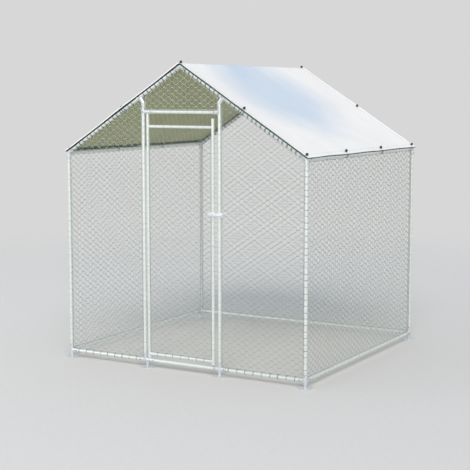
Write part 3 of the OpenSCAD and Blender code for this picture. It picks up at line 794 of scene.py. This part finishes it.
def cover_spots():
    """The eyelets, as places across and along the flat cover."""
    row = np.linspace(-tie_reach, tie_reach, eave_tie_count)
    spots = [(side * (cover_half_w - eyelet_in), y) for side in (-1, 1) for y in row]
    half_way = cover_mid * slope + slope_len / 2
    spots += [(side * half_way, end * tie_reach) for side in (-1, 1) for end in (-1, 1)]
    spots += [(0, end * tie_reach) for end in (-1, 1)]
    return np.array(spots)


def cover_profile(across):
    """Place and way out of the cover's section at a distance from the ridge along the cloth."""
    bend = np.clip(across / cover_mid, -slope, slope)
    straight = np.abs(across) - np.abs(bend) * cover_mid
    out = np.stack([np.sin(bend), np.cos(bend)], -1)
    down = np.stack([np.sign(across) * math.cos(slope), np.full(across.shape, -math.sin(slope))], -1)
    return np.array([0, ridge_z]) + cover_mid * out + straight[..., None] * down, out


print(len(cover_spots()), "eyelets in the cover")

# %% Shape the cloth
sag_depth = 0.020
fullness_along, fullness_across = 0.8, 0.9
ripple_height = 0.0012
ripple_along, ripple_across = 9.0, 5.0
draw_in = 0.005
pucker_height, pucker_r = 0.0022, 0.10
pucker_folds = 3
eyelet_calm = 0.022


def cover_height(across, along):
    """How far the cloth stands above its flat slopes."""
    mid_slope = np.sin(np.pi * np.clip(np.abs(across) / cover_half_w, 0, 1))
    mid_bay = np.clip(1 - (along / half_d) ** 2, 0, 1)
    height = -sag_depth * mid_bay**fullness_along * mid_slope**fullness_across
    height += ripple_height * mid_bay * np.sin(ripple_along * along + ripple_across * across) * mid_slope
    for k, (spot_across, spot_along) in enumerate(cover_spots()):
        gone_across, gone_along = across - spot_across, along - spot_along
        gone = np.hypot(gone_across, gone_along)
        heading = np.arctan2(gone_along, gone_across)
        ring = bell(gone, pucker_r) * (1 - bell(gone, eyelet_calm))
        height += pucker_height * ring * np.cos(pucker_folds * heading + k) ** 2
    return height


def cover_at(across, along, offset):
    """Points at an offset from the middle of the cloth, for places on the flat cover, and the way out."""
    between = np.sin(np.pi * (along + tie_reach) / eave_bay) ** 2 * (np.abs(along) < tie_reach)
    drawn_across = across * (1 - draw_in * between / cover_half_w)
    drawn_along = along * (1 - draw_in * np.sin(np.pi * across / gable_bay) ** 2 / cover_half_l)
    place, out = cover_profile(drawn_across)
    lifted = place + (cover_height(drawn_across, drawn_along) + offset)[..., None] * out
    points = np.stack([lifted[..., 0], drawn_along, lifted[..., 1]], -1)
    return points, np.stack([out[..., 0], np.zeros(along.shape), out[..., 1]], -1)


print(f"Half way down a slope the cloth hangs {-cover_height(gable_bay, 0.0):.3f} m")

# %% [markdown]
# The sheet starts as a grid of places on the flat cloth, closer together at the edges, where the hem is.
# Every place goes through the formula twice, for the upper and the lower face, and a strip of faces
# round the rim joins the two.

# %% Make the cover
inner_across, inner_along = 120, 110
border_w, border_steps = 0.05, 10
fold_steps, fold_spread = 13, 1.5
hem_w, hem_t, hem_step = 0.042, 0.0005, 0.004


def clustered(half, count):
    """Steps from -half to half, close together in the border at both ends."""
    inner = np.linspace(-half + border_w, half - border_w, count)
    border = np.linspace(0, border_w, border_steps, endpoint=False)
    return np.concatenate([-half + border, inner, (half - border)[::-1]])


fold = np.linspace(-fold_spread, fold_spread, fold_steps) * cover_mid * slope
flat_across = np.unique(np.concatenate([clustered(cover_half_w, inner_across), fold]))
flat_along = clustered(cover_half_l, inner_along)
across, along = np.meshgrid(flat_across, flat_along, indexing="ij")
edge_gap = np.minimum(cover_half_w - np.abs(across), cover_half_l - np.abs(along))
hem = hem_t * np.clip((hem_w - edge_gap) / hem_step, 0, 1)
cover_top = cover_at(across, along, cover_t / 2 + hem)[0]
cover_under = cover_at(across, along, -cover_t / 2)[0]
index = np.arange(across.size).reshape(across.shape)
cells = np.stack([index[:-1, :-1], index[1:, :-1], index[1:, 1:], index[:-1, 1:]], -1).reshape(-1, 4)
rim = np.concatenate([index[:, 0], index[-1, 1:], index[-2::-1, -1], index[0, -2:0:-1]])
next_rim = np.roll(rim, -1)
rim_cells = np.stack([rim + across.size, next_rim + across.size, next_rim, rim], -1)
cover_points = np.concatenate([cover_top.reshape(-1, 3), cover_under.reshape(-1, 3)])
cover_cells = np.concatenate([cells, cells[:, ::-1] + across.size, rim_cells])
print("Cover", round(2 * cover_half_w, 3), "by", round(2 * cover_half_l, 3), "m when flat")

# %% [markdown]
# The cloth is a woven tape fabric with a coating. Two sets of fine bands, one each way, make the weave
# as a bump, and a soft noise makes faint clouds of dust. Above it is white with a dull shine, and in the
# middle of each slope a painted sky reflection turns it a cooler, bluish white. That patch is a round
# gradient, stretched along the run, with its edge broken up by noise. The lower face is a dull olive
# green, and the doubled hem is a darker green tape, whose darkness is partly painted shade along the edges.

# %% Make the cloth finishes
weave_bands = {"Scale": 130.0, "Distortion": 0.6, "Detail": 1.0}
weave_bump = (0.12, 0.0008)
dust_noise = (3.2, 8.0)
cloth_smoother, cloth_rougher = 0.06, 0.14
# The bluish patch on each slope is a painted sky reflection: its place, size, cloudy edge, strength and
# colour.
reflection_x, reflection_y = 0.34, -0.10
reflection_size = (0.60, 0.82, 3.0)
reflection_noise, reflection_cloud = (2.4, 2.0), 0.4
reflection_edge, reflection_strength = (0.2, 0.9), 0.7
reflection_blue = (0.50, 0.63, 0.78, 1)


def woven(finish):
    """Bands both ways, as in cloth that is woven from flat tape."""
    bands = {"Vector": object_place(finish), **weave_bands}
    over, under = (put(finish, "ShaderNodeTexWave", bands, bands_direction=way) for way in ("X", "Y"))
    crossed = {0: over.outputs["Fac"], 1: under.outputs["Fac"]}
    return put(finish, "ShaderNodeMath", crossed, operation="MULTIPLY").outputs[0]


def with_painted_reflection(finish, colour, side):
    """A colour with one slope's painted bluish sky reflection laid over it."""
    place = (side * reflection_x, reflection_y, ridge_z)
    sockets = {"Vector": object_place(finish), "Location": place, "Scale": reflection_size}
    spot = put(finish, "ShaderNodeMapping", sockets, vector_type="TEXTURE").outputs[0]
    soft = put(finish, "ShaderNodeTexGradient", {"Vector": spot}, gradient_type="SPHERICAL")
    cloudy = {0: noise(finish, *reflection_noise), 1: reflection_cloud, 2: soft.outputs["Fac"]}
    cloud = put(finish, "ShaderNodeMath", cloudy, operation="MULTIPLY_ADD").outputs[0]
    share = faded(finish, cloud, *reflection_edge, reflection_strength, interpolation_type="SMOOTHSTEP")
    return mixed(finish, share, colour, reflection_blue)


def cloth_finish(name, clean, dusty, roughness, painted_reflection=False):
    """Coated woven cloth, with a painted sky reflection on each slope when asked."""
    finish = new_finish(name, Sheen_Weight=0.05, Specular_IOR_Level=0.22)
    dust = noise(finish, *dust_noise)
    colour = ramp(finish, dust, (0.35, clean), (0.8, dusty))
    for side in (-1, 1) if painted_reflection else ():
        colour = with_painted_reflection(finish, colour, side)
    smooth, rough = grey(roughness - cloth_smoother), grey(roughness + cloth_rougher)
    gloss = ramp(finish, dust, (0.3, smooth), (0.8, rough))
    relief = bumped(finish, woven(finish), *weave_bump)
    to_shader(finish, Base_Color=colour, Roughness=gloss, Normal=relief)
    return finish


cover_white = cloth_finish("white cover face", (0.93, 0.91, 0.885), (0.83, 0.83, 0.82), 0.5, painted_reflection=True)
cover_green = cloth_finish("olive cover face", (0.52, 0.53, 0.30), (0.43, 0.45, 0.25), 0.5)
# The hem green is near black: a dark tape, and partly painted shade in the gap under the cover's edge.
hem_green_and_shade = cloth_finish("green hem and painted shade", (0.04, 0.09, 0.08), (0.03, 0.07, 0.06), 0.45)
print("Cloth in white, olive and hem green")

# %% Finish the cover
olive_slot, hem_shade_slot = 1, 2
cover = add_piece("cover_sheet", cover_points, cover_cells, cover_white, "frame", "cover_cloth")
cover.data.materials.append(cover_green)
cover.data.materials.append(hem_green_and_shade)
face_finish = np.zeros(len(cover_cells), np.int32)
face_finish[len(cells):] = olive_slot
# The underside's hem band takes the dark hem green, partly painted shade along the edges.
in_hem = edge_gap.ravel()[cells].mean(1) < hem_w
face_finish[len(cells):2 * len(cells)][in_hem] = hem_shade_slot
face_finish[2 * len(cells):] = hem_shade_slot
cover.data.polygons.foreach_set("material_index", face_finish)
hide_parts("roof_cover")
print("Cover faces in white, olive and hem green", np.bincount(face_finish))

# %% [markdown]
# ## Hem cord and stitching
# The border of the cover is folded double round a thin cord and sewn down. From the side the corded edge
# is a white line over a dark one, above the rafters: the white face wraps over the cord and the near-black
# green tape goes under it. That tape is partly painted shade, standing in for the shadow in the gap between
# the cover's edge and the tube. More tape shows along the right slope and more white along the left, which
# makes the painted shadow line wider on the right, so the tape begins at a different turn on each. The cord
# is swept along the rim of the sheet, and each of its faces takes one of the two finishes by its turn. The
# seam is a row of separate stitches, each a short thread that dips into the cloth at both ends. Both use
# the formula of the cloth itself, so they follow its sag and puckers.

# %% Sweep the hem cord
hem_cord_r = 0.0045
cord_out = 0.002
cord_sides = 12
# Where the dark tape, partly painted shade, begins and ends on each slope, turned outwards from the top of
# the cord
right_shade_tape, left_shade_tape, shade_tape_end = math.radians(30), math.radians(150), math.radians(270)


def pushed_out(flat, half):
    """Places on the flat cover, with those at the rim moved out to the middle of the cord."""
    return flat + cord_out * np.sign(flat) * (np.abs(flat) == half)


rim_across = pushed_out(across.ravel()[rim], cover_half_w)
rim_along = pushed_out(along.ravel()[rim], cover_half_l)
rim_line, rim_out = cover_at(rim_across, rim_along, 0.0)
cord_points, cord_faces = sweep(rim_line[None], rim_out[None], hem_cord_r, sides=cord_sides, closed=True)
hem_edge = add_piece("cover_hem_cord", cord_points, cord_faces, cover_white, "frame", "cover_cloth")
hem_edge.data.materials.append(hem_green_and_shade)
face_turn = full_turn(cord_sides) + math.pi / cord_sides
shade_tape_from = np.where(rim_across > 0, right_shade_tape, left_shade_tape)[:, None]
in_shade_tape = (face_turn > shade_tape_from) & (face_turn < shade_tape_end)
hem_edge.data.polygons.foreach_set("material_index", in_shade_tape.ravel().astype(np.int32))
print(in_shade_tape.size, "faces of hem cord,", in_shade_tape.sum(), "of them tape")

# %% Sew the hem
stitch_pitch = 0.007
stitch_len = 0.005
stitch_r = 0.0006
stitch_steps = 5
stitch_rise, stitch_dip = 1.6, 0.8
seam_gap = 0.006


def stitches(start, end):
    """A row of stitches between two places on the flat cover."""
    start, end = np.array(start), np.array(end)
    length = np.linalg.norm(end - start)
    way = (end - start) / length
    firsts = np.arange(0, length - stitch_len, stitch_pitch)[:, None]
    share = np.linspace(0, 1, stitch_steps)[None]
    flat = start + (firsts + stitch_len * share)[..., None] * way
    lift = cover_t / 2 + hem_t + stitch_r * (stitch_rise * np.sin(np.pi * share) - stitch_dip)
    line, out = cover_at(flat[..., 0], flat[..., 1], lift)
    return sweep(line, out, stitch_r)


stitch_in = hem_w - seam_gap
seam_x, seam_y = cover_half_w - stitch_in, cover_half_l - stitch_in
seam_corners = [(-seam_x, -seam_y), (seam_x, -seam_y), (seam_x, seam_y), (-seam_x, seam_y)]
seam = joined([stitches(a, b) for a, b in zip(seam_corners, seam_corners[1:] + seam_corners[:1])])
thread = moulded_black("hem thread", 0.30, 0.7)
hem_seam = add_piece("cover_stitching", *seam, thread, "frame", "cover_cloth")
print(len(seam[1]), "faces of stitching")

# %% [markdown]
# ## Ball ties
# A ball tie is a loop of elastic cord with a plastic ball on it. The loop goes through the eyelet and
# round the tube below, and the ball stops it. The ball is lathed: a half outline with a flat at each
# pole, where the cord goes in, and a fine raised seam at the waist, where the two halves of the mould
# met. The solid ties are plain balls, so these stand in for them.

# %% Make the balls
ball_r = 0.010
cord_r = 0.0018
pole_r = 0.0034
seam_height, seam_width = 0.00025, 0.07
ball_sides, ball_steps = 28, 19
stem_len, stem_sides = 0.0115, 12
ball_rise = 0.0277


def lathe(radii, heights, sides):
    """Points and faces of a closed turned shape about Z, in rings from the bottom up."""
    circle = around(full_turn(sides), x_way, y_way)
    rings = np.array(radii)[:, None, None] * circle + np.array(heights)[:, None, None] * np.array(z_way)
    index = np.arange(rings.size // 3).reshape(1, len(radii), sides)
    return rings.reshape(-1, 3), np.concatenate([ring_faces(index), end_faces(index)])


def slope_axes(across):
    """Down the slope, along the run and out of the cover, at a place across it."""
    bend = max(-slope, min(slope, across / cover_mid))
    out = np.array([math.sin(bend), 0, math.cos(bend)])
    return np.array([np.cross(y_way, out), y_way, out])


def rafter_plane(across, along):
    """The point of the roof's axis plane under a place on the cover."""
    spot, out = cover_profile(np.array(across))
    low = spot - cover_mid * out
    return np.array([low[0], along, low[1]])


pole_angle = math.asin(pole_r / ball_r)
latitude = np.linspace(-np.pi / 2 + pole_angle, np.pi / 2 - pole_angle, ball_steps)
ball_radii = ball_r * np.cos(latitude) + seam_height * bell(latitude, seam_width)
ball = lathe(ball_radii, ball_r * np.sin(latitude), ball_sides)
stem = lathe([cord_r, cord_r], [-stem_len, 0.0], stem_sides)
tie_parts = []
for spot_across, spot_along in cover_spots():
    axes = slope_axes(spot_across)
    foot = rafter_plane(spot_across, spot_along)
    for points, faces in (ball, stem):
        tie_parts.append(((points + np.array([0, 0, ball_rise])) @ axes + foot, faces))
balls = add_piece("ball_ties", *joined(tie_parts), ball_black, "frame", "black_elastic")
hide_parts("cover_ties")
print(len(cover_spots()), "ball ties")

# %% [markdown]
# Under the cover the elastic goes round the tube. Where a fitting fills the corner there is no room for
# it, so only the ties along the eaves and half way up the gables show a loop. The loop is a ring that is
# drawn out to a point at the eyelet.

# %% Make the elastic loops
loop_steps, loop_sides = 36, 8
loop_clearance = 0.0002
loop_r = tube_r + cord_r + loop_clearance
point_width = 0.45
eyelet_rise = 0.0155
edge_share, ridge_share = 0.9, 0.1


def elastic_loop(centre, eyelet, tube_way):
    """A cord ring round a tube, drawn out to the eyelet."""
    reach = np.linalg.norm(eyelet - centre)
    towards = (eyelet - centre) / reach
    turn = full_turn(loop_steps)
    radius = loop_r + (reach - loop_r) * bell(wrapped(turn), point_width)
    line = centre + radius[:, None] * around(turn, towards, np.cross(tube_way, towards))
    return sweep(line[None], tube_way, cord_r, sides=loop_sides, closed=True)


loops = []
for spot_across, spot_along in cover_spots():
    foot = rafter_plane(spot_across, spot_along)
    eyelet = foot + eyelet_rise * slope_axes(spot_across)[2]
    side = math.copysign(1, spot_across)
    at_eave = abs(spot_across) > edge_share * cover_half_w
    if at_eave and abs(spot_along) < edge_share * tie_reach:
        centre = np.array([side * half_w, spot_along, eave_z])
        loops.append(elastic_loop(centre, eyelet, y_way))
    elif not at_eave and abs(spot_across) > ridge_share * cover_half_w:
        centre = np.array([foot[0], math.copysign(half_d, spot_along), foot[2]])
        loops.append(elastic_loop(centre, eyelet, roof_up[int(side)]))
add_piece("elastic_loops", *joined(loops), ball_black, "frame", "black_elastic")
print(len(loops), "elastic loops")

# %% [markdown]
# ## Sleeve mouths
# Tubes slide into the fittings, and the step at the mouth of each sleeve throws a thin shadow round the
# tube. A thin dark ring is swept round the tube there, as painted shade. A sleeve reaches equally far in
# each direction from a corner joint, so a joint and its legs say where the mouths are.

# %% Ring the sleeve mouths
mouth_r = 0.0012
mouth_steps, mouth_sides = 32, 6
sleeve_reach = eave_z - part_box("front_right_eave_fitting")[0].z
no_tube_way = (0.6, 0.5, 0.3)


def mouth_shadow_ring(centre, way):
    """A dark ring round a tube, painted shade."""
    first = unit(np.cross(way, no_tube_way))
    circle = around(full_turn(mouth_steps), first, np.cross(way, first))
    line = np.array(centre) + (tube_r + mouth_r) * circle
    return sweep(line[None], way, mouth_r, sides=mouth_sides, closed=True)


def joint_mouth_shadows(joint, legs):
    """Painted shadow rings at the ends of a joint's sleeves."""
    return [mouth_shadow_ring(Vector(joint) + sleeve_reach * Vector(leg), leg) for leg in legs]


mouths = []
for end in (-1, 1):
    inward_y = (0, -end, 0)
    mouths += joint_mouth_shadows((0, end * half_d, ridge_z), [inward_y] + roof_down)
    for side in (-1, 1):
        mouths += joint_mouth_shadows((side * half_w, end * half_d, eave_z), [(0, 0, -1), inward_y, roof_up[side]])
        mouths += joint_mouth_shadows((side * half_w, end * half_d, rail_z), [z_way, inward_y, (-side, 0, 0)])
for side in (-1, 1):
    mouths += joint_mouth_shadows((side * post_x, -half_d, rail_z), [z_way, (side, 0, 0)])
# The rings take the dark lacing zinc as painted shade.
add_piece("sleeve_mouth_shadows", *joined(mouths), dirt_and_shade_zinc, "frame", "galvanised_fitting")
print(len(mouths), "sleeve mouths")

# %% [markdown]
# ## Welds on the door
# The door is the one welded part. Where a rail meets a stile the bead follows the crossing of two equal
# tubes, which is a curve with a simple formula, and its width ripples as a hand-made weld's does.

# %% Lay the weld beads
bead_r = 0.0017
bead_steps, bead_sides = 72, 8
bead_ripples, bead_swell = 18, 0.15


def weld_bead(stile_x, side, rail_height):
    """A bead round the end of a door rail. side is the way from the stile to the rail."""
    turn = full_turn(bead_steps)
    reach = door_tube_r + bead_r / 2
    x = side * np.sqrt((reach * np.cos(turn)) ** 2 + bead_r**2)
    line = np.stack([stile_x + x, -half_d + reach * np.sin(turn), rail_height + reach * np.cos(turn)], -1)
    width = bead_r * (1 + bead_swell * np.sin(bead_ripples * turn))
    return sweep(line[None], around(turn, z_way, y_way)[None], width[None], sides=bead_sides, closed=True)


beads = [
    weld_bead(stile_x, side, rail_height)
    for stile_x, side in ((hinge_x, 1), (latch_x, -1))
    for rail_height in (door_top_z, door_bottom_z)
]
add_piece("door_welds", *joined(beads), fitting_zinc, "door", "galvanised_fitting")
print(len(beads), "weld beads")

# %% [markdown]
# ## Floor and light
# The run stands on a plain pale floor in soft light. The floor is a wide disc that fades out with
# distance, so no horizon line crosses the picture, and the world behind it has the same pale tone near
# the horizon. The key lamp is very wide and far away, so the floor is lit evenly and shadows stay soft.
# A fill lamp on the left draws long highlights down the tubes, and a large lamp near the camera lifts
# the shaded fronts of the posts.

# %% Build the backdrop and the floor
backdrop_level = 0.68
speckle_noise = (30.0, 4.0)
floor_fade_start, floor_fade_end = 4.0, 9.0
floor_r, floor_sides = 12.0, 96
world = bpy.data.worlds.new("studio")
bpy.context.scene.world = world
world.use_nodes = True
direction = put(world, "ShaderNodeTexCoord").outputs["Generated"]
elevation = put(world, "ShaderNodeSeparateXYZ", {"Vector": direction}).outputs["Z"]
sky = ramp(
    world,
    elevation,
    (0.0, grey(backdrop_level)),
    (0.12, grey(backdrop_level)),
    (0.45, (0.58, 0.61, 0.65)),
    (1.0, (0.56, 0.62, 0.72)),
)
world.node_tree.links.new(sky, world.node_tree.nodes["Background"].inputs["Color"])

floor_finish = new_finish("pale floor", Roughness=0.9, Specular_IOR_Level=0.1)
speckle = noise(floor_finish, *speckle_noise)
floor_colour = ramp(floor_finish, speckle, (0.3, (0.670, 0.655, 0.636)), (0.7, (0.695, 0.680, 0.661)))
floor_place = {0: object_place(floor_finish)}
distance = put(floor_finish, "ShaderNodeVectorMath", floor_place, operation="LENGTH").outputs["Value"]
solid = faded(floor_finish, distance, floor_fade_end, floor_fade_start, interpolation_type="SMOOTHSTEP")
to_shader(floor_finish, Base_Color=floor_colour, Alpha=solid)
bpy.ops.mesh.primitive_circle_add(
    vertices=floor_sides,
    radius=floor_r,
    fill_type="NGON",
    location=(0, 0, 0),
)
floor = bpy.context.object
floor.name = "floor"
floor.data.materials.append(floor_finish)
print("Floor", 2 * floor_r, "m across, fading from", floor_fade_start, "m out")

# %% Hang the lamps
key_strength, key_spread = 1.6, math.radians(32)
key_place = (3.6, -6.3, 7.2)


def aim(lamp, place):
    """Puts a lamp in place, facing the middle of the run."""
    lamp.location = place
    lamp.rotation_euler = (Vector((0, 0, ridge_z / 2)) - Vector(place)).to_track_quat("-Z", "Y").to_euler()
    bpy.context.scene.collection.objects.link(lamp)


key_data = bpy.data.lights.new("key lamp", "SUN")
key_data.energy = key_strength
key_data.angle = key_spread
key_data.color = (1.0, 0.97, 0.93)
aim(bpy.data.objects.new("key lamp", key_data), key_place)
for lamp_name, power, lamp_size, lamp_place in (
    ("fill lamp", 80.0, 3.5, (-5.5, -5.0, 4.0)),
    ("front lamp", 110.0, 5.0, (3.2, -9.5, 3.4)),
):
    lamp_data = bpy.data.lights.new(lamp_name, "AREA")
    lamp_data.energy = power
    lamp_data.size = lamp_size
    aim(bpy.data.objects.new(lamp_name, lamp_data), lamp_place)
print(len(bpy.data.lights), "lamps")
